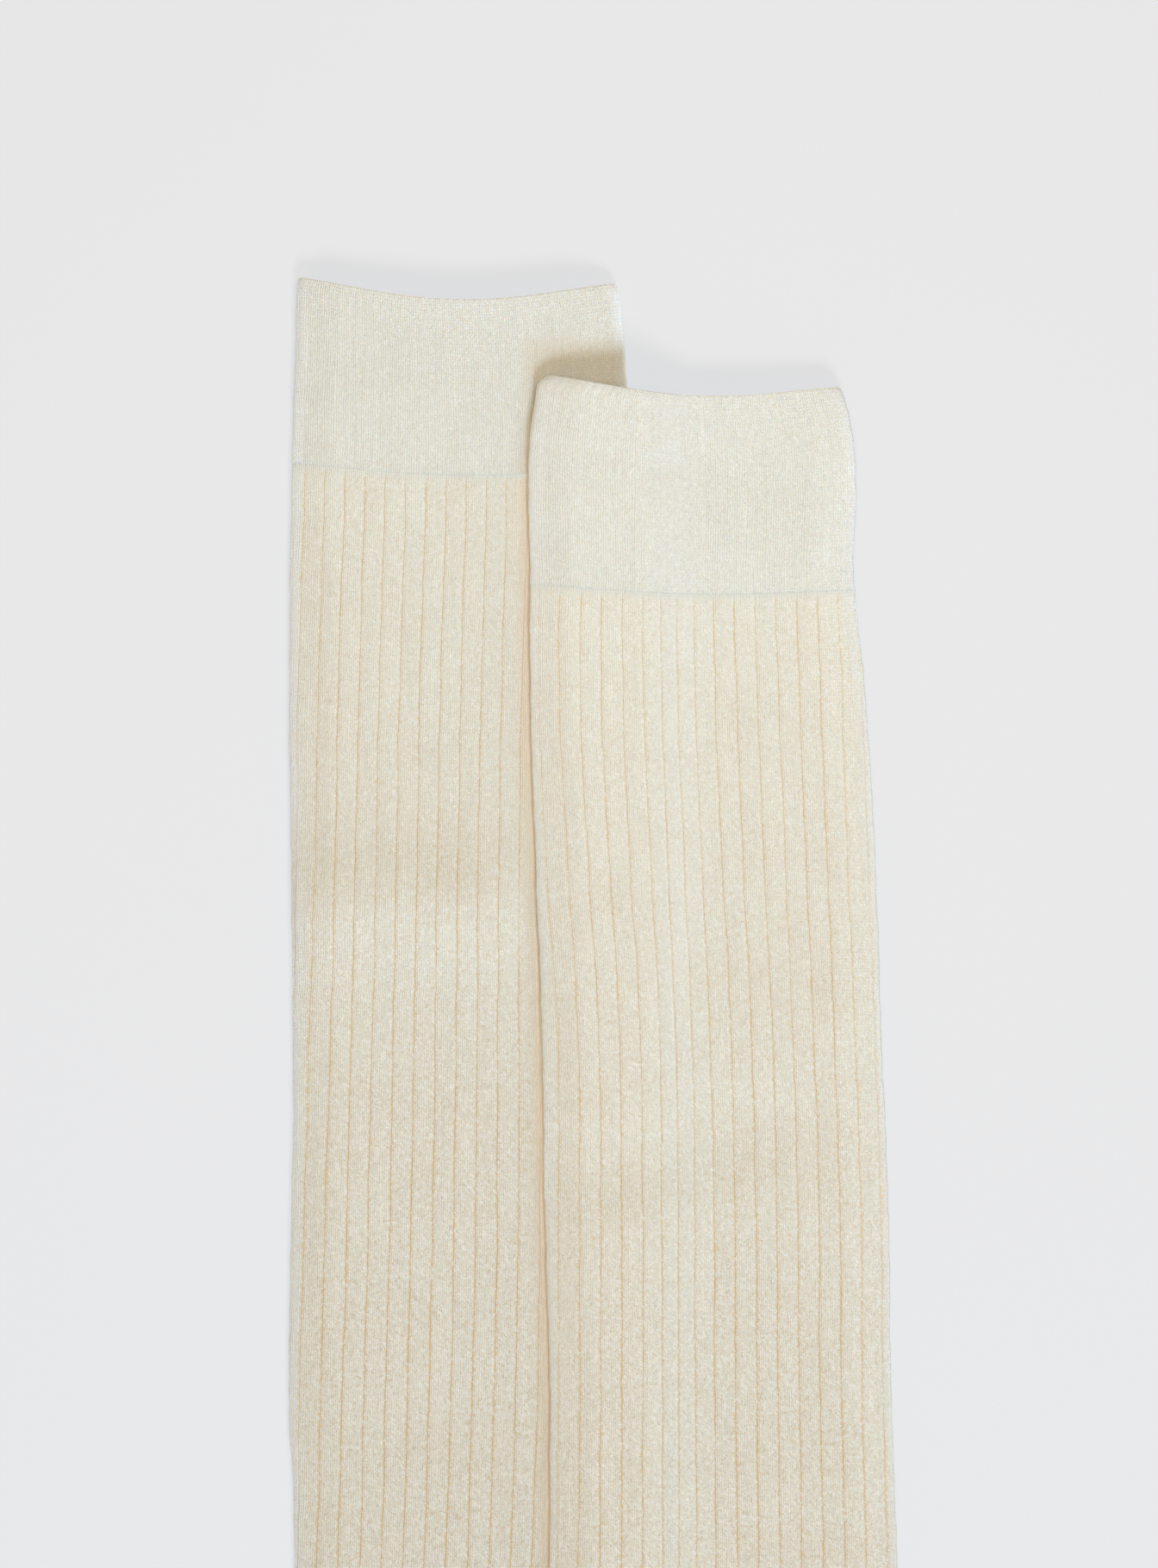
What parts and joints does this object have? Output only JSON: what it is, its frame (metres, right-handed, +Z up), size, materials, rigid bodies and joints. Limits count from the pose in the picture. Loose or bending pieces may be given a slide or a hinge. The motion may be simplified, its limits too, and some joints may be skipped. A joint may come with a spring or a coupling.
{
  "type": "pair of knee socks",
  "caption": "Pair of ribbed knit knee socks laid flat, one lapped over the other, with deep plain cuffs, turned heels and closed toes.",
  "frame": {"origin": "middle of the pair's outline, on the surface that the socks lie on", "axes": "+Y along the legs towards the cuffs, +X across to the lapped (right) sock's toe, +Z up from the surface"},
  "size_m": [0.4136, 0.5361, 0.0146],
  "materials": {
    "cuff_knit": "soft brushed 1x1 rib knit, cream",
    "rib_knit": "soft brushed 4x1 rib knit, cream, with a thin tan yarn in each furrow",
    "plain_knit": "soft brushed plain knit, cream"
  },
  "bodies": {
    "root": {"left_sock_cuff": "cuff_knit", "left_sock_leg": "rib_knit", "left_sock_heel": "plain_knit", "left_sock_foot": "rib_knit", "left_sock_toe": "plain_knit", "right_sock_cuff": "cuff_knit", "right_sock_leg": "rib_knit", "right_sock_heel": "plain_knit", "right_sock_foot": "rib_knit", "right_sock_toe": "plain_knit"}
  },
  "joints": []
}
